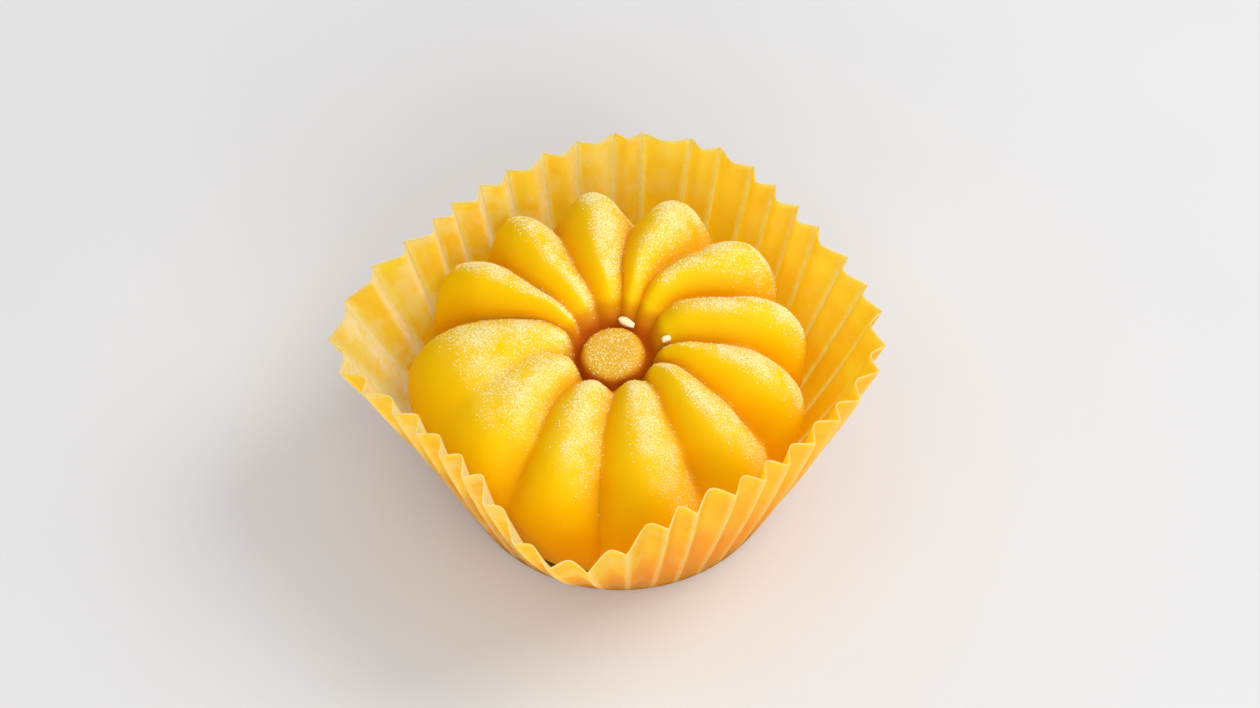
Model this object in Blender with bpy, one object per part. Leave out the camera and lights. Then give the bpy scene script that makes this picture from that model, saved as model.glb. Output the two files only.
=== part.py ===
# Mango mochi, a moulded sweet of twelve lobes round a centre button, in its fluted paper case.
# Metres, +Z up. The origin is the middle of the paper case's underside, which stands on the table.

import math
import random

import bmesh
import bpy

mm = 0.001

# Paper case: a round flat base and a zigzag wall of sharp outer folds and softer inner folds.
base_radius = 20.0 * mm
wall_slant = 27.7 * mm
paper_thickness = 0.38 * mm
flute_count = 42
flute_steps = 6
wall_rows = 5
row_crowding = 1.25
base_band = 2.2 * mm
first_fold_azimuth = math.radians(178.0)
fold_sharpness = 0.93
flute_depth_share = 0.82
fold_wander = math.radians(1.5)
wander_seed = 7

# The wall leans out from vertical, more at its foot than at its rim, and bulges at four corners.
wall_flare = math.radians(17.7)
wall_bow = math.radians(-8.0)
wall_corners = [
    {"azimuth": 177.7, "extra": 16.4, "width": 21.2},
    {"azimuth": 79.5, "extra": 10.7, "width": 27.0},
    {"azimuth": 0.0, "extra": 8.5, "width": 25.2},
    {"azimuth": 258.2, "extra": 14.4, "width": 18.4},
]

# Mochi: it stands a little to the left of the case's middle, clear of the paper all round. Its
# button and the lobes' inner ends sit off the middle, each over a reach of radii in millimetres,
# and its back is higher than its front. The top ends where the foot draws in, at a share of the rows.
mochi_centre = (-1.5 * mm, 1.1 * mm)
button_shift = (0.6 * mm, -1.0 * mm)
inner_end_shift = (0.8 * mm, 0.1 * mm)
button_reach = (4.4, 5.6)
inner_end_reach = (5.5, 13.0)
inner_groove_reach = (6.0, 18.0)
top_share = 0.8
rise_rightward = 0.045
rise_backward = 0.112
clearance = 0.3 * mm
press_softness = 1.6 * mm
halvings = 18
steps_per_lobe = 8
mochi_rows = 27

# The grooves between the lobes, in order round the sweet: azimuth at the outside and at the
# button, in degrees, then share of the full depth at the outside and at the button. The
# mould's even lobes came out uneven.
grooves = [
    (-2.5, -4.0, 1.0, 1.0),
    (21.5, 38.0, 1.0, 1.0),
    (52.0, 62.0, 1.0, 1.0),
    (81.0, 82.0, 1.0, 1.0),
    (110.0, 110.0, 1.0, 1.0),
    (137.0, 140.0, 1.0, 1.0),
    (163.0, 158.0, 1.0, 1.0),
    (206.5, 191.5, 0.18, 0.6),
    (238.0, 228.0, 0.8, 1.0),
    (267.0, 268.0, 0.9, 1.0),
    (301.5, 307.5, 0.9, 1.0),
    (329.5, 335.5, 1.0, 1.0),
]
groove_narrowness = 0.76
groove_round = 0.2

# Radius, height and groove depth down a lobe's crest, in millimetres: the button, the moat round
# it, the lobe's inner end, the crown, the widest place and the foot.
crest_profile = [
    (1.2, 22.0, 0.0),
    (2.7, 21.9, 0.0),
    (3.7, 21.4, 0.0),
    (4.1, 20.4, 0.0),
    (4.6, 20.1, 0.1),
    (5.2, 21.1, 0.6),
    (6.3, 22.8, 1.3),
    (8.6, 24.3, 2.0),
    (11.6, 24.9, 2.6),
    (15.3, 25.0, 3.2),
    (18.7, 24.5, 3.9),
    (21.9, 22.3, 4.5),
    (23.8, 19.2, 3.7),
    (24.6, 16.0, 2.6),
    (24.1, 11.0, 1.4),
    (22.6, 6.2, 0.9),
    (20.0, 2.6, 0.4),
    (16.8, 0.7, 0.0),
]

even_width = 360.0 / len(grooves)
foot_height = crest_profile[-1][1] * mm
crown_height = 25.0 * mm

mochi_colour = (0.90, 0.53, 0.03, 1.0)
paper_colour = (1.0, 0.49, 0.02, 1.0)


def clear_scene():
    for item in list(bpy.data.objects):
        bpy.data.objects.remove(item, do_unlink=True)


def plain_material(name, colour, roughness):
    material = bpy.data.materials.new(name)
    material.use_nodes = True
    shader = material.node_tree.nodes["Principled BSDF"]
    shader.inputs["Base Color"].default_value = colour
    shader.inputs["Roughness"].default_value = roughness
    shader.inputs["Metallic"].default_value = 0.0
    material.diffuse_color = colour
    return material


def place_object(name, build_mesh, material):
    mesh = bpy.data.meshes.new(name)
    build_mesh.normal_update()
    build_mesh.to_mesh(mesh)
    build_mesh.free()
    mesh.materials.append(material)
    mesh.shade_smooth()
    mesh.set_sharp_from_angle(angle=math.radians(50.0))
    placed = bpy.data.objects.new(name, mesh)
    bpy.context.scene.collection.objects.link(placed)
    return placed


def turn_between(first, second):
    # Shortest turn from one azimuth to another, in degrees.
    return (second - first + 180.0) % 360.0 - 180.0


def wall_lean(azimuth):
    lean = wall_flare
    for corner in wall_corners:
        away = turn_between(corner["azimuth"], math.degrees(azimuth)) / corner["width"]
        lean += math.radians(corner["extra"]) * math.exp(-away * away)
    return lean


def outer_fold(azimuth, climb):
    # Radius, height and lean of an outer fold at a length of paper above the base's edge.
    curl = wall_bow / wall_slant
    foot_lean = wall_lean(azimuth) - wall_bow / 2.0
    lean = foot_lean + curl * climb
    radius = base_radius + (math.cos(foot_lean) - math.cos(lean)) / curl
    height = (math.sin(lean) - math.sin(foot_lean)) / curl
    return radius, height, lean


def flute_depth(radius, climb):
    # The case was pressed from a flat disc, so its folds take up the paper that the narrower
    # wall leaves over.
    flat_radius = base_radius + climb
    spare = max(flat_radius * flat_radius - radius * radius, 0.0)
    return flute_depth_share * math.pi / flute_count * math.sqrt(spare)


def case_point(azimuth, climb, phase):
    # A point of the paper's outer face. Phase runs from 0 at one outer fold to 1 at the next.
    radius, height, lean = outer_fold(azimuth, climb)
    zigzag = math.asin(fold_sharpness * math.sin(math.pi * phase)) / math.asin(fold_sharpness)
    inward = flute_depth(radius, climb) * zigzag
    radius -= inward * math.cos(lean)
    height += inward * math.sin(lean)
    return radius * math.cos(azimuth), radius * math.sin(azimuth), height


def fold_shifts():
    # How far each fold has wandered off its even place at the rim.
    chance = random.Random(wander_seed)
    return [chance.uniform(-fold_wander, fold_wander) for _ in range(flute_count)]


def paper_case_mesh():
    paper = bmesh.new()
    shifts = fold_shifts()
    spacing = 2.0 * math.pi / flute_count
    rings = []
    for row in range(wall_rows + 1):
        climb = wall_slant * (row / wall_rows) ** row_crowding
        ring = []
        for flute in range(flute_count):
            here = shifts[flute]
            following = shifts[(flute + 1) % flute_count]
            for step in range(flute_steps):
                phase = step / flute_steps
                shift = (here + (following - here) * phase) * climb / wall_slant
                azimuth = first_fold_azimuth + (flute + phase) * spacing + shift
                ring.append(paper.verts.new(case_point(azimuth, climb, phase)))
        rings.append(ring)
    around = len(rings[0])
    for lower, upper in zip(rings, rings[1:]):
        for index in range(around):
            following = (index + 1) % around
            paper.faces.new((lower[index], lower[following], upper[following], upper[index]))
    close_base(paper, rings[0])
    return paper


def close_base(paper, edge):
    # A flat base: a band of fans from a smaller ring, and one face in the middle.
    inner_radius = base_radius - base_band
    inner = []
    for flute in range(flute_count):
        azimuth = first_fold_azimuth + flute * 2.0 * math.pi / flute_count
        place = (inner_radius * math.cos(azimuth), inner_radius * math.sin(azimuth), 0.0)
        inner.append(paper.verts.new(place))
    for flute in range(flute_count):
        first = flute * flute_steps
        run = [edge[(first + step) % len(edge)] for step in range(flute_steps + 1)]
        following = inner[(flute + 1) % flute_count]
        paper.faces.new([inner[flute], following] + run[::-1])
    paper.faces.new(inner[::-1])


def add_paper_case():
    paper = plain_material("waxed_paper", paper_colour, 0.55)
    case = place_object("paper_case", paper_case_mesh(), paper)
    solid = case.modifiers.new("Paper thickness", "SOLIDIFY")
    solid.thickness = paper_thickness
    solid.offset = -1.0
    solid.use_even_offset = True
    solid.use_rim = True
    return case


def case_room(azimuth, height):
    # Radius that is free inside the case's inner folds at a height.
    low = 0.0
    high = wall_slant
    room = base_radius
    for _ in range(halvings):
        climb = (low + high) / 2.0
        radius, rise, lean = outer_fold(azimuth, climb)
        inward = flute_depth(radius, climb) + paper_thickness + clearance
        room = radius - inward * math.cos(lean)
        if rise + inward * math.sin(lean) < height:
            low = climb
        else:
            high = climb
    return room


def smooth_least(first, second, softness):
    # The smaller of two lengths, with a soft change from one to the other.
    blend = min(max(0.5 + 0.5 * (second - first) / softness, 0.0), 1.0)
    return second + (first - second) * blend - softness * blend * (1.0 - blend)


def curve_through(points, share):
    # Catmull-Rom curve through a list of rows, for a share of the list from 0 to 1.
    spans = len(points) - 1
    place = share * spans
    span = min(int(place), spans - 1)
    part = place - span
    before = points[max(span - 1, 0)]
    start = points[span]
    end = points[span + 1]
    after = points[min(span + 2, spans)]
    found = []
    for a, b, c, d in zip(before, start, end, after):
        bend = 2.0 * a - 5.0 * b + 4.0 * c - d
        twist = 3.0 * b - a - 3.0 * c + d
        found.append(0.5 * (2.0 * b + (c - a) * part + bend * part ** 2 + twist * part ** 3))
    return found


def lobe_azimuth(lobe, across, inward):
    # Azimuth of a place across a lobe, from 0 at its first groove to 1 at its second. Inward is 0
    # at the outside and 1 at the button.
    first = grooves[lobe]
    second = grooves[(lobe + 1) % len(grooves)]
    start = first[0] + (first[1] - first[0]) * inward
    outer_width = (second[0] - first[0]) % 360.0
    inner_width = (second[1] - first[1]) % 360.0
    width = outer_width + (inner_width - outer_width) * inward
    return math.radians(start + width * across), width


def groove_share(lobe, across, inward):
    # How far the surface sinks at a place across a lobe: 0 on its crest, 1 in a full groove.
    nearer = grooves[lobe] if across < 0.5 else grooves[(lobe + 1) % len(grooves)]
    full = nearer[2] + (nearer[3] - nearer[2]) * inward
    from_groove = 1.0 - abs(2.0 * across - 1.0)
    swell = math.sin(math.pi / 2.0 * from_groove) ** groove_narrowness
    softened = math.hypot(swell, groove_round) - groove_round
    crest = math.hypot(1.0, groove_round) - groove_round
    return full * (1.0 - softened / crest)


def share_within(radius, reach):
    # 1 inside the nearer radius of a reach, in millimetres, falling softly to 0 at the farther one.
    near, far = reach
    part = min(max((far - radius) / (far - near), 0.0), 1.0)
    return part * part * (3.0 - 2.0 * part)


def top_shift(radius):
    # How far the top has moved off the middle at a radius in millimetres.
    on_button = share_within(radius, button_reach)
    on_inner_ends = share_within(radius, inner_end_reach)
    shift = []
    for button, inner_end in zip(button_shift, inner_end_shift):
        shift.append(inner_end * on_inner_ends + (button - inner_end) * on_button)
    return shift


def mochi_point(lobe, across, share):
    radius, height, depth = curve_through(crest_profile, share)
    behind = curve_through(crest_profile, max(share - 0.01, 0.0))
    ahead = curve_through(crest_profile, min(share + 0.01, 1.0))
    run = ahead[0] - behind[0]
    drop = ahead[1] - behind[1]
    length = math.hypot(run, drop)
    on_top = share < top_share
    inward = share_within(radius, inner_groove_reach) if on_top else 0.0
    shift = top_shift(radius) if on_top else (0.0, 0.0)
    azimuth, width = lobe_azimuth(lobe, across, inward)
    sink = max(depth, 0.0) * math.sqrt(width / even_width) * groove_share(lobe, across, inward)
    radius = (radius + sink * drop / length) * mm
    height = (height - sink * run / length) * mm
    x = radius * math.cos(azimuth) + shift[0]
    y = radius * math.sin(azimuth) + shift[1]
    above_foot = height - foot_height
    height += above_foot * (rise_rightward * x + rise_backward * y) / crown_height
    return press_against_case(x + mochi_centre[0], y + mochi_centre[1], height)


def press_against_case(x, y, height):
    # The wall of the case stops the sweet's flank.
    from_axis = math.hypot(x, y)
    room = case_room(math.atan2(y, x), height)
    pressed = smooth_least(from_axis, room, press_softness) / from_axis
    return x * pressed, y * pressed, height


def mochi_mesh():
    sweet = bmesh.new()
    rings = []
    for row in range(mochi_rows + 1):
        ring = []
        for lobe in range(len(grooves)):
            for step in range(steps_per_lobe):
                place = mochi_point(lobe, step / steps_per_lobe, row / mochi_rows)
                ring.append(sweet.verts.new(place))
        rings.append(ring)
    around = len(rings[0])
    for upper, lower in zip(rings, rings[1:]):
        for index in range(around):
            following = (index + 1) % around
            sweet.faces.new((lower[index], lower[following], upper[following], upper[index]))
    sweet.faces.new(rings[0])
    sweet.faces.new(rings[-1][::-1])
    return sweet


def add_mochi():
    dough = plain_material("mango_mochi", mochi_colour, 0.6)
    return place_object("mochi", mochi_mesh(), dough)


clear_scene()
add_paper_case()
add_mochi()
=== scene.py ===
import math

import bmesh
import bpy
from mathutils import Euler, Matrix, Vector, noise


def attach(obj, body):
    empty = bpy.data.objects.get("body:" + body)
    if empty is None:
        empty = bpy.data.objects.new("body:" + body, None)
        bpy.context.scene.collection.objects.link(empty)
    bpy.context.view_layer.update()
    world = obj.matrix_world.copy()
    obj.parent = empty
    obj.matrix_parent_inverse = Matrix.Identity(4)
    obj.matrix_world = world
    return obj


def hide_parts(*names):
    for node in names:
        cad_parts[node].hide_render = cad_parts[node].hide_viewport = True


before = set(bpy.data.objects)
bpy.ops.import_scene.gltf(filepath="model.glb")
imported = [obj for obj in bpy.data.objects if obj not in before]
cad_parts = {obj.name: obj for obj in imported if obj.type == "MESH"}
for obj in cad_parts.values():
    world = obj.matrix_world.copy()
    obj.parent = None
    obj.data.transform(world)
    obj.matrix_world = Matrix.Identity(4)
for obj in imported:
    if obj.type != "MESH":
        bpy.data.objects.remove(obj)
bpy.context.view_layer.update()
print("stage 1: frame loaded,", len(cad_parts), "solids")

mm = 0.001


# small helpers

def addNode(tree, kind, inputs=(), **settings):
    # one node, with its settings and with values or links for its inputs, by place or by name
    node = tree.nodes.new(kind)
    for name, value in settings.items():
        setattr(node, name, value)
    pairs = inputs.items() if isinstance(inputs, dict) else enumerate(inputs)
    for place, value in pairs:
        if isinstance(value, bpy.types.NodeSocket):
            tree.links.new(value, node.inputs[place])
        elif value is not None:
            node.inputs[place].default_value = value
    return next((socket for socket in node.outputs if socket.enabled), None)


def linearColour(hexColour):
    # an sRGB hex colour as the linear values that a shader takes
    channels = []
    for start in (1, 3, 5):
        value = int(hexColour[start:start + 2], 16) / 255.0
        channels.append(value / 12.92 if value <= 0.04045 else ((value + 0.055) / 1.055) ** 2.4)
    return (*channels, 1.0)


def newMaterial(name):
    material = bpy.data.materials.new(name)
    material.use_nodes = True
    material.node_tree.nodes.clear()
    return material, material.node_tree


def newShapeTree(name, sizes, takesMesh=False):
    # a Geometry Nodes tree with one named input for each size
    tree = bpy.data.node_groups.new(name, "GeometryNodeTree")
    tree.interface.new_socket(name="Geometry", in_out="OUTPUT", socket_type="NodeSocketGeometry")
    if takesMesh:
        tree.interface.new_socket(name="Geometry", in_out="INPUT", socket_type="NodeSocketGeometry")
    for label, value in sizes.items():
        kind = "NodeSocketInt" if isinstance(value, int) else "NodeSocketFloat"
        tree.interface.new_socket(name=label, in_out="INPUT", socket_type=kind)
    entry = tree.nodes.new("NodeGroupInput")
    return tree, {socket.name: socket for socket in entry.outputs if socket.name}


def settleShape(piece, tree, sizes):
    # runs the tree on the piece, then keeps what it made as the piece's plain mesh
    modifier = piece.modifiers.new("Shape", "NODES")
    modifier.node_group = tree
    for item in tree.interface.items_tree:
        if item.in_out == "INPUT" and item.name in sizes:
            modifier[item.identifier] = sizes[item.name]
    graph = bpy.context.evaluated_depsgraph_get()
    graph.update()
    made = bpy.data.meshes.new_from_object(
        piece.evaluated_get(graph), preserve_all_data_layers=True, depsgraph=graph)
    piece.modifiers.remove(modifier)
    piece.data = made
    made.name = piece.name
    return piece


def newPiece(name, mesh=None):
    piece = bpy.data.objects.new(name, mesh or bpy.data.meshes.new(name))
    bpy.context.scene.collection.objects.link(piece)
    return piece


def dressPiece(piece, node):
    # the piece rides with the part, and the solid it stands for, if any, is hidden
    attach(piece, "root")
    if node:
        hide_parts(node)


# paper case: the same rule and sizes as its solid, in true paper thickness

caseSizes = {
    "Base radius": 20.0 * mm,
    "Wall slant": 27.7 * mm,
    "Flutes": 42,
    "Steps per flute": 18,
    "Wall rows": 34,
    "Base rows": 9,
    "First fold": math.radians(178.0),
    "Fold wander": math.radians(1.5),
    "Wall flare": math.radians(17.7),
    "Wall bow": math.radians(-8.0),
    "Flute depth": 0.82,
    "Flute unevenness": 0.12,
    "Fold sharpness": 0.93,
    "Crease radius": 0.09,
    "Rim unevenness": 0.012,
    "Crinkle height": 0.16 * mm,
    "Crinkles per metre": 170.0,
    "Seed": 5,
}
caseLook = {
    "thickness": 0.14 * mm,
    # the wall leans out further at four corners: azimuth, extra lean and width, in degrees
    "corners": [(177.7, 16.4, 21.2), (79.5, 10.7, 27.0), (0.0, 8.5, 25.2), (258.2, 14.4, 18.4)],
    # painted light: the side of the key light; paper faces turned to it are made paler
    "keyLightSide": (0.52, 0.46, 0.72),
}


def growCaseTree(material):
    tree, size = newShapeTree("Fluted paper case", caseSizes)
    maths = "ShaderNodeMath"

    columns = addNode(tree, maths, [size["Flutes"], size["Steps per flute"], 1.0],
                      operation="MULTIPLY_ADD")
    rows = addNode(tree, maths, [size["Wall rows"], size["Base rows"]], operation="ADD")
    rowPoints = addNode(tree, maths, [rows, 1.0], operation="ADD")
    grid = addNode(tree, "GeometryNodeMeshGrid", [1.0, 1.0, columns, rowPoints])
    place = addNode(tree, "ShaderNodeSeparateXYZ", [addNode(tree, "GeometryNodeInputPosition")])
    around = addNode(tree, maths, [place.node.outputs["X"], 0.5], operation="ADD")
    upward = addNode(tree, maths, [place.node.outputs["Y"], 0.5], operation="ADD")

    # rows: first over the flat base, then up the wall
    row = addNode(tree, maths, [upward, rows], operation="MULTIPLY")
    baseShare = addNode(tree, maths, [row, size["Base rows"]], operation="DIVIDE", use_clamp=True)
    wallRow = addNode(tree, maths, [row, size["Base rows"]], operation="SUBTRACT")
    wallShare = addNode(tree, maths, [wallRow, size["Wall rows"]], operation="DIVIDE", use_clamp=True)

    # which flute, and how far across it, with more steps near its two sharp outer folds
    flutePlace = addNode(tree, maths, [around, size["Flutes"]], operation="MULTIPLY")
    nudged = addNode(tree, maths, [flutePlace, 0.001], operation="ADD")
    flute = addNode(tree, maths, [nudged, 0.0], operation="FLOOR")
    part = addNode(tree, maths, [flutePlace, flute], operation="SUBTRACT", use_clamp=True)
    turn = addNode(tree, maths, [part, math.pi], operation="MULTIPLY")
    swing = addNode(tree, maths, [turn], operation="COSINE")
    phase = addNode(tree, maths, [swing, -0.5, 0.5], operation="MULTIPLY_ADD")

    # each fold wanders off its even place, and each flute has its own depth and cut length
    fold = addNode(tree, maths, [flute, size["Flutes"]], operation="MODULO")
    afterFlute = addNode(tree, maths, [flute, 1.0], operation="ADD")
    nextFold = addNode(tree, maths, [afterFlute, size["Flutes"]], operation="MODULO")
    leftmost = addNode(tree, maths, [size["Fold wander"], -1.0], operation="MULTIPLY")
    shifts = []
    cuts = []
    for number in (fold, nextFold):
        shifts.append(addNode(tree, "FunctionNodeRandomValue", {
            "Min": leftmost, "Max": size["Fold wander"], "ID": number, "Seed": size["Seed"]}))
    uneven = addNode(tree, "FunctionNodeRandomValue", {2: -1.0, 3: 1.0, "ID": fold, "Seed": 21})
    for number in (fold, nextFold):
        cuts.append(addNode(tree, "FunctionNodeRandomValue", {2: -1.0, 3: 1.0, "ID": number, "Seed": 22}))
    shift = addNode(tree, "ShaderNodeMix", {0: phase, 2: shifts[0], 3: shifts[1]})
    cut = addNode(tree, "ShaderNodeMix", {0: phase, 2: cuts[0], 3: cuts[1]})
    lengthShare = addNode(tree, maths, [cut, size["Rim unevenness"], 1.0], operation="MULTIPLY_ADD")
    cutSlant = addNode(tree, maths, [size["Wall slant"], lengthShare], operation="MULTIPLY")
    climb = addNode(tree, maths, [wallShare, cutSlant], operation="MULTIPLY")

    spacing = addNode(tree, maths, [2.0 * math.pi, size["Flutes"]], operation="DIVIDE")
    foldPlace = addNode(tree, maths, [flute, phase], operation="ADD")
    even = addNode(tree, maths, [foldPlace, spacing, size["First fold"]], operation="MULTIPLY_ADD")
    azimuth = addNode(tree, maths, [shift, wallShare, even], operation="MULTIPLY_ADD")

    # lean of the wall from upright, greater at the corners
    lean = size["Wall flare"]
    for cornerAzimuth, extra, width in caseLook["corners"]:
        away = addNode(tree, maths, [azimuth, math.radians(cornerAzimuth)], operation="SUBTRACT")
        near = addNode(tree, maths, [away, -math.pi, math.pi], operation="WRAP")
        scaled = addNode(tree, maths, [near, math.radians(width)], operation="DIVIDE")
        square = addNode(tree, maths, [scaled, scaled], operation="MULTIPLY")
        fall = addNode(tree, maths, [square, -1.0], operation="MULTIPLY")
        bell = addNode(tree, maths, [fall], operation="EXPONENT")
        lean = addNode(tree, maths, [bell, math.radians(extra), lean], operation="MULTIPLY_ADD")

    # the outer fold bows: its lean falls evenly from foot to rim
    curl = addNode(tree, maths, [size["Wall bow"], size["Wall slant"]], operation="DIVIDE")
    footLean = addNode(tree, maths, [size["Wall bow"], -0.5, lean], operation="MULTIPLY_ADD")
    leanHere = addNode(tree, maths, [curl, climb, footLean], operation="MULTIPLY_ADD")
    footCos = addNode(tree, maths, [footLean], operation="COSINE")
    footSin = addNode(tree, maths, [footLean], operation="SINE")
    leanCos = addNode(tree, maths, [leanHere], operation="COSINE")
    leanSin = addNode(tree, maths, [leanHere], operation="SINE")
    outSum = addNode(tree, maths, [footCos, leanCos], operation="SUBTRACT")
    out = addNode(tree, maths, [outSum, curl], operation="DIVIDE")
    riseSum = addNode(tree, maths, [leanSin, footSin], operation="SUBTRACT")
    foldHeight = addNode(tree, maths, [riseSum, curl], operation="DIVIDE")
    foldRadius = addNode(tree, maths, [size["Base radius"], out], operation="ADD")

    # the folds take up the paper of the flat disc that the narrower wall leaves over
    flatRadius = addNode(tree, maths, [size["Base radius"], climb], operation="ADD")
    flatSquare = addNode(tree, maths, [flatRadius, flatRadius], operation="MULTIPLY")
    foldSquare = addNode(tree, maths, [foldRadius, foldRadius], operation="MULTIPLY")
    spare = addNode(tree, maths, [flatSquare, foldSquare], operation="SUBTRACT")
    spareRoot = addNode(tree, maths, [addNode(tree, maths, [spare, 0.0], operation="MAXIMUM"), 0.5],
                        operation="POWER")
    halfSpacing = addNode(tree, maths, [spacing, 0.5], operation="MULTIPLY")
    fullDepth = addNode(tree, maths, [spareRoot, halfSpacing], operation="MULTIPLY")
    depthShare = addNode(tree, maths, [uneven, size["Flute unevenness"], 1.0], operation="MULTIPLY_ADD")
    ownShare = addNode(tree, maths, [depthShare, size["Flute depth"]], operation="MULTIPLY")
    depth = addNode(tree, maths, [fullDepth, ownShare], operation="MULTIPLY")
    halfTurn = addNode(tree, maths, [phase, math.pi], operation="MULTIPLY")
    sine = addNode(tree, maths, [halfTurn], operation="SINE")
    creaseSquare = addNode(tree, maths, [size["Crease radius"], size["Crease radius"]], operation="MULTIPLY")
    softSquare = addNode(tree, maths, [sine, sine, creaseSquare], operation="MULTIPLY_ADD")
    softRoot = addNode(tree, maths, [softSquare], operation="SQRT")
    arch = addNode(tree, maths, [softRoot, size["Crease radius"]], operation="SUBTRACT")
    archFull = addNode(tree, maths, [arch, 0.0], operation="MAXIMUM")
    archPart = addNode(tree, maths, [archFull, size["Fold sharpness"]], operation="MULTIPLY")
    slope = addNode(tree, maths, [archPart], operation="ARCSINE")
    fullSlope = addNode(tree, maths, [size["Fold sharpness"]], operation="ARCSINE")
    bow = addNode(tree, maths, [slope, fullSlope], operation="DIVIDE")
    inward = addNode(tree, maths, [depth, bow], operation="MULTIPLY")

    sunk = addNode(tree, maths, [inward, leanCos], operation="MULTIPLY")
    wallRadius = addNode(tree, maths, [foldRadius, sunk], operation="SUBTRACT")
    radius = addNode(tree, maths, [wallRadius, baseShare], operation="MULTIPLY")
    height = addNode(tree, maths, [inward, leanSin, foldHeight], operation="MULTIPLY_ADD")
    azimuthCos = addNode(tree, maths, [azimuth], operation="COSINE")
    azimuthSin = addNode(tree, maths, [azimuth], operation="SINE")
    x = addNode(tree, maths, [radius, azimuthCos], operation="MULTIPLY")
    y = addNode(tree, maths, [radius, azimuthSin], operation="MULTIPLY")
    point = addNode(tree, "ShaderNodeCombineXYZ", [x, y, height])

    # what the paper's material reads: how near an outer fold, and how far up the wall; its paler folds and
    # rim are partly wear and partly painted highlight, and its deeper foot is painted shade
    foldShare = addNode(tree, maths, [addNode(tree, maths, [halfTurn], operation="COSINE")],
                        operation="ABSOLUTE")
    marked = addNode(tree, "GeometryNodeStoreNamedAttribute", {
        "Geometry": grid, "Name": "foldShare", "Value": foldShare}, domain="POINT")
    marked = addNode(tree, "GeometryNodeStoreNamedAttribute", {
        "Geometry": marked, "Name": "wallShare", "Value": wallShare}, domain="POINT")
    shaped = addNode(tree, "GeometryNodeSetPosition", {"Geometry": marked, "Position": point})
    closed = addNode(tree, "GeometryNodeMergeByDistance", {"Geometry": shaped, "Distance": 0.002 * mm})

    # slight crinkles, none where the case stands
    crinkle = addNode(tree, "ShaderNodeTexNoise", {
        "Scale": size["Crinkles per metre"], "Detail": 3.0, "Roughness": 0.55})
    centred = addNode(tree, maths, [crinkle, 0.5], operation="SUBTRACT")
    onWall = addNode(tree, "GeometryNodeInputNamedAttribute", {"Name": "wallShare"})
    soft = addNode(tree, maths, [onWall, 6.0], operation="MULTIPLY", use_clamp=True)
    crinkleHeight = addNode(tree, maths, [soft, size["Crinkle height"]], operation="MULTIPLY")
    push = addNode(tree, maths, [centred, crinkleHeight], operation="MULTIPLY")
    offset = addNode(tree, "ShaderNodeVectorMath", {
        0: addNode(tree, "GeometryNodeInputNormal"), "Scale": push}, operation="SCALE")
    crinkled = addNode(tree, "GeometryNodeSetPosition", {"Geometry": closed, "Offset": offset})
    smooth = addNode(tree, "GeometryNodeSetShadeSmooth", {"Geometry": crinkled})
    whole = addNode(tree, "GeometryNodeRealizeInstances", [smooth])
    finished = addNode(tree, "GeometryNodeSetMaterial", {"Geometry": whole, "Material": material})
    addNode(tree, "NodeGroupOutput", [finished])
    return tree


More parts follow.
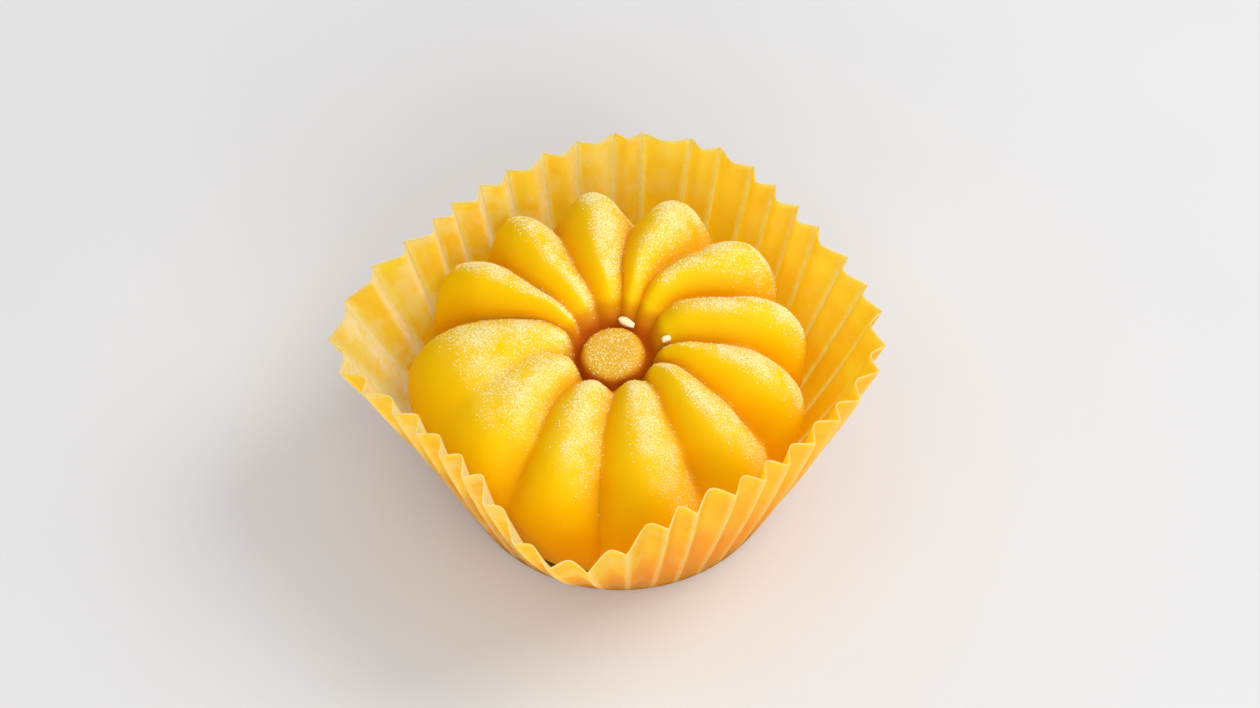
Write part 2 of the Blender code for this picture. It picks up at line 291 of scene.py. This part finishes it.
def waxedPaper():
    # Greaseproof baking paper, dyed yellow and pressed in a die: it glows where light comes through, and
    # grease and starch leave it mottled. Its creases and rim are paler, partly wear and partly painted
    # highlight; its foot is a deeper orange with painted shade, and faces turned to the key light are paler
    # with painted light.
    material, tree = newMaterial("dyedGreaseproofPaper")
    coordinates = addNode(tree, "ShaderNodeTexCoord").node.outputs["Object"]
    foldShare = addNode(tree, "ShaderNodeAttribute", attribute_name="foldShare").node.outputs["Fac"]
    wallShare = addNode(tree, "ShaderNodeAttribute", attribute_name="wallShare").node.outputs["Fac"]

    mottle = addNode(tree, "ShaderNodeTexNoise", {
        "Vector": coordinates, "Scale": 1.0 / (5.0 * mm), "Detail": 4.0, "Roughness": 0.6})
    mottleShare = addNode(tree, "ShaderNodeMapRange", {"Value": mottle, 1: 0.36, 2: 0.66})
    dye = addNode(tree, "ShaderNodeMix", {
        0: mottleShare, 6: linearColour("#FFDE1C"), 7: linearColour("#FFEA46")}, data_type="RGBA")

    # the outer folds and the rim edge are paler: partly wear, partly painted highlight
    crease = addNode(tree, "ShaderNodeMapRange", {"Value": foldShare, 1: 0.9, 2: 0.995})
    rim = addNode(tree, "ShaderNodeMapRange", {"Value": wallShare, 1: 0.985, 2: 1.0})
    wornAndHighlit = addNode(tree, "ShaderNodeMath", [crease, rim], operation="MAXIMUM")
    fibres = addNode(tree, "ShaderNodeTexNoise", {
        "Vector": coordinates, "Scale": 1.0 / (0.8 * mm), "Detail": 3.0})
    clumps = addNode(tree, "ShaderNodeMapRange", {"Value": fibres, 1: 0.36, 2: 0.6, 3: 0.5, 4: 1.0})
    wornHighlitPatchy = addNode(tree, "ShaderNodeMath", [wornAndHighlit, clumps], operation="MULTIPLY")
    # painted shade: the wall is a deeper orange towards its foot
    footShade = addNode(tree, "ShaderNodeMapRange", {"Value": wallShare, 1: 0.0, 2: 0.65, 3: 0.8, 4: 0.0})
    shadedFoot = addNode(tree, "ShaderNodeMix", {
        0: footShade, 6: dye, 7: linearColour("#FFC40A")}, data_type="RGBA")
    creased = addNode(tree, "ShaderNodeMix", {
        0: wornHighlitPatchy, 6: shadedFoot, 7: linearColour("#FFF2B0")}, data_type="RGBA")

    dustPatch = addNode(tree, "ShaderNodeTexNoise", {
        "Vector": coordinates, "Scale": 1.0 / (4.5 * mm), "Detail": 4.0, "Roughness": 0.6})
    # more of the starch lies at the left and the back left
    rightward = addNode(tree, "ShaderNodeSeparateXYZ", [coordinates])
    mostDust = addNode(tree, "ShaderNodeMapRange", {
        "Value": rightward, 1: 12.0 * mm, 2: -12.0 * mm, 3: 0.12, 4: 0.62})
    dustShare = addNode(tree, "ShaderNodeMapRange", {"Value": dustPatch, 1: 0.49, 2: 0.62, 4: mostDust})
    dusty = addNode(tree, "ShaderNodeMix", {
        0: dustShare, 6: creased, 7: linearColour("#FFF2C0")}, data_type="RGBA")

    bump = addNode(tree, "ShaderNodeBump", {
        "Strength": 0.35, "Distance": 0.05 * mm, "Height": fibres})
    # painted light: faces turned towards the key light's side are paler, in patches
    facing = addNode(tree, "ShaderNodeVectorMath", [
        addNode(tree, "ShaderNodeNewGeometry").node.outputs["Normal"],
        tuple(Vector(caseLook["keyLightSide"]).normalized())], operation="DOT_PRODUCT").node.outputs["Value"]
    towardLight = addNode(tree, "ShaderNodeMapRange", {"Value": facing, 1: 0.18, 2: 0.56})
    paleShare = addNode(tree, "ShaderNodeMath", [towardLight, clumps], operation="MULTIPLY")
    withLitFaces = addNode(tree, "ShaderNodeMix", {
        0: paleShare, 6: dusty, 7: linearColour("#FFF5D6")}, data_type="RGBA")
    # light thrown back is paler than light that has come through the dye
    surface = addNode(tree, "ShaderNodeMix", {
        0: 0.25, 6: withLitFaces, 7: linearColour("#FFEB96")}, data_type="RGBA")
    face = addNode(tree, "ShaderNodeBsdfPrincipled", {
        "Base Color": surface, "Roughness": 0.46, "IOR": 1.45, "Specular IOR Level": 0.4, "Normal": bump})
    through = addNode(tree, "ShaderNodeBsdfTranslucent", {"Color": withLitFaces, "Normal": bump})
    both = addNode(tree, "ShaderNodeMixShader", {0: 0.74, 1: face, 2: through})
    addNode(tree, "ShaderNodeOutputMaterial", {"Surface": both})
    return material


def makePaperCase():
    material = waxedPaper()
    piece = settleShape(newPiece("paperCase"), growCaseTree(material), caseSizes)
    thick = piece.modifiers.new("Paper thickness", "SOLIDIFY")
    thick.thickness = caseLook["thickness"]
    thick.offset = -1.0
    dressPiece(piece, "paper_case")


# mochi: twelve uneven lobes round a button, by the same rule and sizes as its solid

sweet = {
    "centre": (-1.5, 1.1),
    "buttonShift": (0.6, -1.0),
    "innerEndShift": (0.8, 0.1),
    "buttonReach": (4.4, 5.6),
    "innerEndReach": (5.5, 13.0),
    "innerGrooveReach": (6.0, 18.0),
    "riseRightward": 0.045,
    "riseBackward": 0.112,
    "clearance": 0.68,
    "pressSoftness": 1.6,
    "grooveNarrowness": 0.76,
    "grooveRound": 0.2,
    "stepsPerLobe": 26,
    "rows": 150,
    "topShare": 0.8,
    "crown": 25.0,
    # azimuth of each groove at the outside and at the button, its share of the full depth there
    "grooves": [
        (-2.5, -4.0, 1.0, 1.0), (21.5, 38.0, 1.0, 1.0), (52.0, 62.0, 1.0, 1.0),
        (81.0, 82.0, 1.0, 1.0), (110.0, 110.0, 1.0, 1.0), (137.0, 140.0, 1.0, 1.0),
        (163.0, 158.0, 1.0, 1.0), (206.5, 191.5, 0.18, 0.6), (238.0, 228.0, 0.8, 1.0),
        (267.0, 268.0, 0.9, 1.0), (301.5, 307.5, 0.9, 1.0), (329.5, 335.5, 1.0, 1.0),
    ],
    # radius, height and groove depth down a lobe's crest, in millimetres
    "profile": [
        (1.2, 22.0, 0.0), (2.7, 21.9, 0.0), (3.7, 21.4, 0.0), (4.1, 20.4, 0.0), (4.6, 20.1, 0.1),
        (5.2, 21.1, 0.6), (6.3, 22.8, 1.3), (8.6, 24.3, 2.0), (11.6, 24.9, 2.6), (15.3, 25.0, 3.2),
        (18.7, 24.5, 3.9), (21.9, 22.3, 4.5), (23.8, 19.2, 3.7), (24.6, 16.0, 2.6), (24.1, 11.0, 1.4),
        (22.6, 6.2, 0.9), (20.0, 2.6, 0.4), (16.8, 0.7, 0.0),
    ],
    # soft unevenness of hand-pressed dough: height and length of each kind, in millimetres
    "unevenness": [(0.16, 7.0), (0.05, 2.2)],
}
# where the sifted starch lies, with painted light: faces turned to the key light's side, given by from, take
# more of the pale dust; none at the first value of a pair, all of it at the second
starchAndLitSide = {
    "from": (0.52, 0.46, 0.72),
    "facing": (0.16, 0.88),
    "level": (-0.1, 0.6),
    "evenShare": 0.68,
    # strength of each kind of patch, and its length in millimetres
    "patches": [(0.75, 2.6), (0.5, 0.9)],
    "lostInGroove": 0.85,
    "onButton": 0.27,
}
# where painted shade darkens the dough (the grooves, the lower flank and the hollow round the button) and
# where the button is darker, in millimetres from the middle or above the table
doughShadeAndButton = {
    "hollowStart": (2.6, 4.2),
    "hollowEnd": (4.7, 6.4),
    "buttonRadius": 4.0,
    "buttonShare": 0.42,
    "flankHeights": (11.0, 22.0),
    "flankShare": 0.75,
    "grooveFall": 1.3,
    "belowTop": 30.0,
}


def smoothStep(value, low, high):
    part = min(max((value - low) / (high - low), 0.0), 1.0)
    return part * part * (3.0 - 2.0 * part)


def wallLean(azimuth):
    lean = caseSizes["Wall flare"]
    for cornerAzimuth, extra, width in caseLook["corners"]:
        away = (math.degrees(azimuth) - cornerAzimuth + 180.0) % 360.0 - 180.0
        lean += math.radians(extra) * math.exp(-(away / width) ** 2)
    return lean


def roomInCase(azimuth, height):
    # radius inside the case's inner folds at a height, found by halving
    base = caseSizes["Base radius"]
    curl = caseSizes["Wall bow"] / caseSizes["Wall slant"]
    footLean = wallLean(azimuth) - caseSizes["Wall bow"] / 2.0
    low, high = 0.0, caseSizes["Wall slant"]
    room = base
    for _ in range(14):
        climb = (low + high) / 2.0
        lean = footLean + curl * climb
        radius = base + (math.cos(footLean) - math.cos(lean)) / curl
        rise = (math.sin(lean) - math.sin(footLean)) / curl
        spare = max((base + climb) ** 2 - radius * radius, 0.0)
        depth = caseSizes["Flute depth"] * math.pi / caseSizes["Flutes"] * math.sqrt(spare)
        inward = depth + sweet["clearance"] * mm
        room = radius - inward * math.cos(lean)
        if rise + inward * math.sin(lean) < height:
            low = climb
        else:
            high = climb
    return room


def curveThrough(points, share):
    # smooth curve through a list of rows, for a share of the list from 0 to 1
    spans = len(points) - 1
    place = share * spans
    span = min(int(place), spans - 1)
    part = place - span
    rows = [points[max(span - 1, 0)], points[span], points[span + 1], points[min(span + 2, spans)]]
    found = []
    for a, b, c, d in zip(*rows):
        bend = 2.0 * a - 5.0 * b + 4.0 * c - d
        twist = 3.0 * b - a - 3.0 * c + d
        found.append(0.5 * (2.0 * b + (c - a) * part + bend * part ** 2 + twist * part ** 3))
    return found


def shareWithin(radius, reach):
    return 1.0 - smoothStep(radius, *reach)


def grooveShare(lobe, across, inward):
    # 0 on a lobe's crest, 1 in a full groove
    grooves = sweet["grooves"]
    nearer = grooves[lobe] if across < 0.5 else grooves[(lobe + 1) % len(grooves)]
    full = nearer[2] + (nearer[3] - nearer[2]) * inward
    fromGroove = 1.0 - abs(2.0 * across - 1.0)
    swell = math.sin(math.pi / 2.0 * fromGroove) ** sweet["grooveNarrowness"]
    softened = math.hypot(swell, sweet["grooveRound"]) - sweet["grooveRound"]
    crest = math.hypot(1.0, sweet["grooveRound"]) - sweet["grooveRound"]
    return full * (1.0 - softened / crest)


def sweetRow(share):
    # radius, height and groove depth of a row, the slope of the crest there, and how far the top moved
    radius, height, depth = curveThrough(sweet["profile"], share)
    behind = curveThrough(sweet["profile"], max(share - 0.01, 0.0))
    ahead = curveThrough(sweet["profile"], min(share + 0.01, 1.0))
    run, drop = ahead[0] - behind[0], ahead[1] - behind[1]
    length = math.hypot(run, drop)
    onTop = share < sweet["topShare"]
    inward = shareWithin(radius, sweet["innerGrooveReach"]) if onTop else 0.0
    onButton = shareWithin(radius, sweet["buttonReach"]) if onTop else 0.0
    onInnerEnds = shareWithin(radius, sweet["innerEndReach"]) if onTop else 0.0
    shift = [inner * onInnerEnds + (button - inner) * onButton
             for button, inner in zip(sweet["buttonShift"], sweet["innerEndShift"])]
    return radius, height, max(depth, 0.0), run / length, drop / length, inward, shift


def sweetPoint(row, lobe, across):
    radius, height, depth, run, drop, inward, shift = row
    grooves = sweet["grooves"]
    first, second = grooves[lobe], grooves[(lobe + 1) % len(grooves)]
    start = first[0] + (first[1] - first[0]) * inward
    outerWidth = (second[0] - first[0]) % 360.0
    innerWidth = (second[1] - first[1]) % 360.0
    width = outerWidth + (innerWidth - outerWidth) * inward
    azimuth = math.radians(start + width * across)
    sink = depth * math.sqrt(width * len(grooves) / 360.0) * grooveShare(lobe, across, inward)
    x = ((radius + sink * drop) * math.cos(azimuth) + shift[0]) * mm
    y = ((radius + sink * drop) * math.sin(azimuth) + shift[1]) * mm
    z = (height - sink * run) * mm
    foot, crown = sweet["profile"][-1][1] * mm, sweet["crown"] * mm
    z += (z - foot) * (sweet["riseRightward"] * x + sweet["riseBackward"] * y) / crown
    x += sweet["centre"][0] * mm
    y += sweet["centre"][1] * mm
    return pressOnCase(x, y, z)


def pressOnCase(x, y, z):
    # the case's wall stops the sweet's flank, softly
    fromAxis = math.hypot(x, y)
    softness = sweet["pressSoftness"] * mm
    if fromAxis > 0.7 * caseSizes["Base radius"]:
        room = roomInCase(math.atan2(y, x), z)
    else:
        room = fromAxis + softness
    blend = min(max(0.5 + 0.5 * (room - fromAxis) / softness, 0.0), 1.0)
    pressed = room + (fromAxis - room) * blend - softness * blend * (1.0 - blend)
    return x * pressed / fromAxis, y * pressed / fromAxis, z


def sweetMesh():
    # the mesh, and for each point how deep in a groove it is and its radius on the top
    points, faces, grooveMarks, rowMarks = [], [], [], []
    lobes, steps, rows = len(sweet["grooves"]), sweet["stepsPerLobe"], sweet["rows"]
    around = lobes * steps
    for rowNumber in range(rows + 1):
        share = rowNumber / rows
        row = sweetRow(share)
        for lobe in range(lobes):
            for step in range(steps):
                points.append(sweetPoint(row, lobe, step / steps))
                grooveMarks.append(grooveShare(lobe, step / steps, row[5]) * min(row[2], 1.0))
                rowMarks.append(row[0] if share < 0.5 else doughShadeAndButton["belowTop"])
    for rowNumber in range(rows):
        for index in range(around):
            following = (index + 1) % around
            upper, lower = rowNumber * around, (rowNumber + 1) * around
            faces.append((lower + index, lower + following, upper + following, upper + index))
    for ring, turned in ((0, False), (rows, True)):
        loop = range(ring * around, (ring + 1) * around)
        middle = [sum(points[index][axis] for index in loop) / around for axis in range(3)]
        centre = len(points)
        points.append(tuple(middle))
        grooveMarks.append(0.0)
        rowMarks.append(0.0 if ring == 0 else doughShadeAndButton["belowTop"])
        for index in range(around):
            here, following = loop[index], loop[(index + 1) % around]
            faces.append((following, here, centre) if turned else (here, following, centre))
    mesh = bpy.data.meshes.new("mochi")
    mesh.from_pydata(points, [], faces)
    mesh.shade_smooth()
    return mesh, grooveMarks, rowMarks


def markSweet(mesh, grooveMarks, rowMarks):
    # uneven dough first, then where the starch lies (heavier on the side turned to the key light, painted
    # light), and the painted shade in the grooves, on the lower flank and in the hollow round the button
    normals = [vertex.normal.copy() for vertex in mesh.vertices]
    for vertex, normal in zip(mesh.vertices, normals):
        push = sum(height * noise.noise(vertex.co / (length * mm)) for height, length in sweet["unevenness"])
        vertex.co += normal * push * mm
    mesh.update()
    litSide = Vector(starchAndLitSide["from"]).normalized()
    lowFlank, highFlank = (height * mm for height in doughShadeAndButton["flankHeights"])
    dustAndLitSide, grooveAndFlankShade, hollowShadeAndButton = [], [], []
    for vertex, groove, rowMark in zip(mesh.vertices, grooveMarks, rowMarks):
        normal = vertex.normal
        # painted light: faces turned to the key light's side take more of the pale starch
        facing = smoothStep(normal.dot(litSide), *starchAndLitSide["facing"])
        level = smoothStep(normal.z, *starchAndLitSide["level"])
        patch = starchAndLitSide["evenShare"]
        for strength, length in starchAndLitSide["patches"]:
            patch += strength * noise.noise(vertex.co / (length * mm))
        onCrest = 1.0 - starchAndLitSide["lostInGroove"] * min(groove, 1.0) ** 0.5
        # painted shade: the hollow round the button is darker; the button itself is darker too
        intoHollow = smoothStep(rowMark, *doughShadeAndButton["hollowStart"])
        sunk = intoHollow * (1.0 - smoothStep(rowMark, *doughShadeAndButton["hollowEnd"]))
        onButton = rowMark < doughShadeAndButton["buttonRadius"]
        share = starchAndLitSide["onButton"] if onButton else facing * level * onCrest * max(patch, 0.0)
        dustAndLitSide.append(min(share * (1.0 - sunk), 1.0))
        hollowShadeAndButton.append(max(sunk, doughShadeAndButton["buttonShare"]) if onButton else sunk)
        # painted shade: the grooves and the lower flank are darker
        flank = doughShadeAndButton["flankShare"] * (1.0 - smoothStep(vertex.co.z, lowFlank, highFlank))
        grooveAndFlankShade.append(min(max(groove ** doughShadeAndButton["grooveFall"], flank), 1.0))
    for name, values in (("dustAndLitSide", dustAndLitSide), ("grooveAndFlankShade", grooveAndFlankShade), ("hollowShadeAndButton", hollowShadeAndButton)):
        mesh.attributes.new(name, "FLOAT", "POINT").data.foreach_set("value", values)


def riceDough():
    # Steamed rice dough with mango: dense, a little see-through, so light sinks in; its grooves, lower flank
    # and the hollow round the button are a darker orange with painted shade. Its skin is matt with fine
    # starch, paler with painted light on the side turned to the key light.
    material, tree = newMaterial("steamedRiceDough")
    coordinates = addNode(tree, "ShaderNodeTexCoord").node.outputs["Object"]
    dustAndLitSide = addNode(tree, "ShaderNodeAttribute", attribute_name="dustAndLitSide").node.outputs["Fac"]
    grooveAndFlankShade = addNode(tree, "ShaderNodeAttribute", attribute_name="grooveAndFlankShade").node.outputs["Fac"]
    hollowShadeAndButton = addNode(tree, "ShaderNodeAttribute", attribute_name="hollowShadeAndButton").node.outputs["Fac"]

    cloud = addNode(tree, "ShaderNodeTexNoise", {
        "Vector": coordinates, "Scale": 1.0 / (6.0 * mm), "Detail": 3.0})
    dough = addNode(tree, "ShaderNodeMix", {
        0: cloud, 6: linearColour("#ECBC00"), 7: linearColour("#F1C800")}, data_type="RGBA")
    # painted shade: the grooves and the lower flank are a deeper orange
    grooveShaded = addNode(tree, "ShaderNodeMix", {
        0: grooveAndFlankShade, 6: dough, 7: linearColour("#ECA600")}, data_type="RGBA")
    # painted shade in the hollow round the button, and the button's darker colour
    sunk = addNode(tree, "ShaderNodeMix", {
        0: hollowShadeAndButton, 6: grooveShaded, 7: linearColour("#BC5A00")}, data_type="RGBA")

    # starch grains are a fiftieth of a millimetre, so they are drawn as clumps of 0.3 mm
    speckle = addNode(tree, "ShaderNodeTexNoise", {
        "Vector": coordinates, "Scale": 1.0 / (0.3 * mm), "Detail": 2.0, "Roughness": 0.6})
    clumps = addNode(tree, "ShaderNodeMapRange", {"Value": speckle, 1: 0.38, 2: 0.64, 3: 0.3, 4: 1.3})
    paleShare = addNode(tree, "ShaderNodeMath", [dustAndLitSide, clumps], operation="MULTIPLY", use_clamp=True)
    dustAndLitShare = addNode(tree, "ShaderNodeMath", [paleShare, 0.82], operation="MULTIPLY")
    # painted light: the pale starch colour is heavier on the side turned to the key light
    dustedAndLit = addNode(tree, "ShaderNodeMix", {
        0: dustAndLitShare, 6: sunk, 7: linearColour("#F8E78E")}, data_type="RGBA")

    roughness = addNode(tree, "ShaderNodeMapRange", {"Value": paleShare, 3: 0.5, 4: 0.85})
    skin = addNode(tree, "ShaderNodeTexNoise", {
        "Vector": coordinates, "Scale": 1.0 / (0.7 * mm), "Detail": 3.0})
    skinBump = addNode(tree, "ShaderNodeBump", {"Strength": 0.25, "Distance": 0.04 * mm, "Height": skin})
    dustBump = addNode(tree, "ShaderNodeBump", {
        "Strength": 0.6, "Distance": 0.08 * mm, "Height": paleShare, "Normal": skinBump})
    shader = addNode(tree, "ShaderNodeBsdfPrincipled", {
        "Base Color": dustedAndLit, "Roughness": roughness, "IOR": 1.42, "Specular IOR Level": 0.07,
        "Subsurface Weight": 0.55, "Subsurface Radius": (1.0, 0.52, 0.08), "Subsurface Scale": 2.0 * mm,
        "Normal": dustBump})
    addNode(tree, "ShaderNodeOutputMaterial", {"Surface": shader})
    return material


def makeMochi():
    mesh, grooveMarks, rowMarks = sweetMesh()
    markSweet(mesh, grooveMarks, rowMarks)
    mesh.materials.append(riceDough())
    return newPiece("mochi", mesh)


# loose starch on the sweet

grainSizes = {
    "Grains per square metre": 60000000.0,
    "Smallest": 0.04 * mm,
    "Largest": 0.125 * mm,
    "Seed": 11,
}


def growGrainTree(material):
    tree, size = newShapeTree("Starch grains", grainSizes, takesMesh=True)
    # the grains follow the dust mark, which is heavier on the side turned to the key light
    dustAndLitSide = addNode(tree, "GeometryNodeInputNamedAttribute", {"Name": "dustAndLitSide"})
    steep = addNode(tree, "ShaderNodeMath", [dustAndLitSide, 1.4], operation="POWER")
    density = addNode(tree, "ShaderNodeMath", [steep, size["Grains per square metre"]], operation="MULTIPLY")
    spots = addNode(tree, "GeometryNodeDistributePointsOnFaces", {
        "Mesh": size["Geometry"], "Density": density, "Seed": size["Seed"]}, distribute_method="RANDOM")
    grain = addNode(tree, "GeometryNodeMeshUVSphere", {"Segments": 4, "Rings": 2, "Radius": 1.0})
    turn = addNode(tree, "FunctionNodeRandomValue", {
        0: (0.0, 0.0, 0.0), 1: (6.283, 6.283, 6.283), "Seed": 3}, data_type="FLOAT_VECTOR")
    scale = addNode(tree, "FunctionNodeRandomValue", {
        2: size["Smallest"], 3: size["Largest"], "Seed": 4})
    grains = addNode(tree, "GeometryNodeInstanceOnPoints", {
        "Points": spots, "Instance": grain, "Rotation": turn, "Scale": scale})
    whole = addNode(tree, "GeometryNodeRealizeInstances", [grains])
    finished = addNode(tree, "GeometryNodeSetMaterial", {"Geometry": whole, "Material": material})
    addNode(tree, "NodeGroupOutput", [finished])
    return tree


def looseStarch():
    # Clumps of rice starch: chalky white, with light sinking in a little.
    material, tree = newMaterial("looseRiceStarch")
    coordinates = addNode(tree, "ShaderNodeTexCoord").node.outputs["Object"]
    tint = addNode(tree, "ShaderNodeTexNoise", {"Vector": coordinates, "Scale": 1.0 / (1.5 * mm)})
    colour = addNode(tree, "ShaderNodeMix", {
        0: tint, 6: linearColour("#FFE98C"), 7: linearColour("#FFF8D0")}, data_type="RGBA")
    shader = addNode(tree, "ShaderNodeBsdfPrincipled", {
        "Base Color": colour, "Roughness": 0.6, "Subsurface Weight": 0.3,
        "Subsurface Radius": (1.0, 0.8, 0.5), "Subsurface Scale": 0.1 * mm})
    addNode(tree, "ShaderNodeOutputMaterial", {"Surface": shader})
    return material


def makeGrains(mochi):
    material = looseStarch()
    piece = newPiece("starchGrains", mochi.data.copy())
    settleShape(piece, growGrainTree(material), grainSizes)
    return piece


# crumbs: two bits of dried dough, one in the ring round the button and one on a lobe's inner end

crumbSizes = {
    # place and lengths in millimetres, and turn, of each
    "crumbs": [
        ((0.73, 4.97, 21.33), (2.15, 1.0, 0.8), (0.15, 0.12, -0.5)),
        ((5.58, 1.46, 22.51), (1.2, 0.9, 0.75), (0.3, -0.3, 0.25)),
    ],
    "bluntness": 0.8,
    "lumpHeight": 0.16,
    "lumpsPerRadius": 1.3,
}


def driedDough():
    # Dried rice dough: cream, matt, light sinks in a little.
    material, tree = newMaterial("driedRiceDough")
    coordinates = addNode(tree, "ShaderNodeTexCoord").node.outputs["Object"]
    tint = addNode(tree, "ShaderNodeTexNoise", {"Vector": coordinates, "Scale": 1.0 / (0.7 * mm)})
    colour = addNode(tree, "ShaderNodeMix", {
        0: tint, 6: linearColour("#FFD890"), 7: linearColour("#FFF4DA")}, data_type="RGBA")
    shader = addNode(tree, "ShaderNodeBsdfPrincipled", {
        "Base Color": colour, "Roughness": 0.55, "Subsurface Weight": 0.3,
        "Subsurface Radius": (1.0, 0.7, 0.4), "Subsurface Scale": 0.3 * mm})
    addNode(tree, "ShaderNodeOutputMaterial", {"Surface": shader})
    return material


def makeCrumbs():
    shape = bmesh.new()
    for place, lengths, turn in crumbSizes["crumbs"]:
        made = bmesh.ops.create_icosphere(shape, subdivisions=4, radius=1.0)
        turned = Euler(turn).to_matrix()
        for vertex in made["verts"]:
            blunt = Vector([
                math.copysign(abs(part) ** crumbSizes["bluntness"], part) for part in vertex.co])
            lumpPlace = blunt * crumbSizes["lumpsPerRadius"] + Vector(place)
            lump = 1.0 + crumbSizes["lumpHeight"] * noise.noise(lumpPlace)
            stretched = Vector([part * length / 2.0 for part, length in zip(blunt, lengths)])
            vertex.co = (turned @ stretched * lump + Vector(place)) * mm
    mesh = bpy.data.meshes.new("crumbs")
    shape.to_mesh(mesh)
    shape.free()
    mesh.shade_smooth()
    mesh.materials.append(driedDough())
    dressPiece(newPiece("crumbs", mesh), None)


# room: floor, lights and camera

room = {
    "floorSize": 4.0,
    "worldStrength": 0.68,
    "keyPower": 5.2,
    "keyPlace": (0.66, 0.24, 0.76),
    "keySize": 0.6,
    "fillPower": 5.2,
    "fillPlace": (0.22, -0.8, 0.4),
    "fillSize": 0.8,
    "lightsAimAt": (0.0, 0.0, 0.015),
}
view = {
    "elevation": math.radians(53.7),
    "distance": 600.0 * mm,
    "lens": 4800.0 * 36.0 / 1260.0,   # millimetres, on a sensor 36 mm wide
    "aimUp": 13.05 * mm,
    "aimRight": 1.2 * mm,
}


def palePlaster():
    # Matt painted board, nearly white, with a faint unevenness of tone.
    material, tree = newMaterial("mattPaintedBoard")
    coordinates = addNode(tree, "ShaderNodeTexCoord").node.outputs["Object"]
    cloud = addNode(tree, "ShaderNodeTexNoise", {"Vector": coordinates, "Scale": 1.0 / (40.0 * mm)})
    colour = addNode(tree, "ShaderNodeMix", {
        0: cloud, 6: linearColour("#D4D4D4"), 7: linearColour("#DADADA")}, data_type="RGBA")
    shader = addNode(tree, "ShaderNodeBsdfPrincipled", {
        "Base Color": colour, "Roughness": 0.7, "Specular IOR Level": 0.2})
    addNode(tree, "ShaderNodeOutputMaterial", {"Surface": shader})
    return material


def makeFloor():
    half = room["floorSize"] / 2.0
    mesh = bpy.data.meshes.new("floor")
    corners = [(-half, -half, 0), (half, -half, 0), (half, half, 0), (-half, half, 0)]
    mesh.from_pydata(corners, [], [(0, 1, 2, 3)])
    mesh.materials.append(palePlaster())
    floor = newPiece("floor", mesh)


def makeLight(name, place, power, size, colour):
    lamp = bpy.data.lights.new(name, "AREA")
    lamp.shape = "DISK"
    lamp.size = size
    lamp.energy = power
    lamp.color = linearColour(colour)[:3]
    light = bpy.data.objects.new(name, lamp)
    light.location = place
    towardSweet = Vector(room["lightsAimAt"]) - Vector(place)
    light.rotation_euler = towardSweet.to_track_quat("-Z", "Y").to_euler()
    bpy.context.scene.collection.objects.link(light)


def makeLights():
    makeLight("keyWindow", room["keyPlace"], room["keyPower"], room["keySize"], "#FFFDF8")
    makeLight("fillCard", room["fillPlace"], room["fillPower"], room["fillSize"], "#FAFCFF")
    world = bpy.data.worlds.new("paleRoom")
    world.use_nodes = True
    background = world.node_tree.nodes["Background"]
    background.inputs["Color"].default_value = linearColour("#FCFCFF")
    background.inputs["Strength"].default_value = room["worldStrength"]
    bpy.context.scene.world = world
    bpy.context.scene.view_settings.view_transform = "Standard"


def makeCamera():
    elevation, distance = view["elevation"], view["distance"]
    place = Vector((0.0, -math.cos(elevation) * distance, math.sin(elevation) * distance))
    forward = -place.normalized()
    rightward = Vector((1.0, 0.0, 0.0))
    aim = rightward.cross(forward) * view["aimUp"] + rightward * view["aimRight"]
    look = (aim - place).normalized()
    across = look.cross(Vector((0.0, 0.0, 1.0))).normalized()
    upward = across.cross(look)
    lens = bpy.data.cameras.new("camera")
    lens.sensor_width = 36.0
    lens.lens = view["lens"]
    lens.clip_start = 0.01
    camera = bpy.data.objects.new("camera", lens)
    turned = Matrix((across, upward, -look)).transposed().to_4x4()
    camera.matrix_world = Matrix.Translation(place) @ turned
    bpy.context.scene.collection.objects.link(camera)
    bpy.context.scene.camera = camera


makeCamera()
makeFloor()
makeLights()
print("stage 2: room, lights and camera")
makePaperCase()
print("stage 3: paper case")
mochi = makeMochi()
print("stage 4: mochi")
grains = makeGrains(mochi)
dressPiece(mochi, "mochi")
dressPiece(grains, None)
print("stage 5: starch,", len(grains.data.polygons), "faces")
makeCrumbs()
print("stage 6: crumbs")
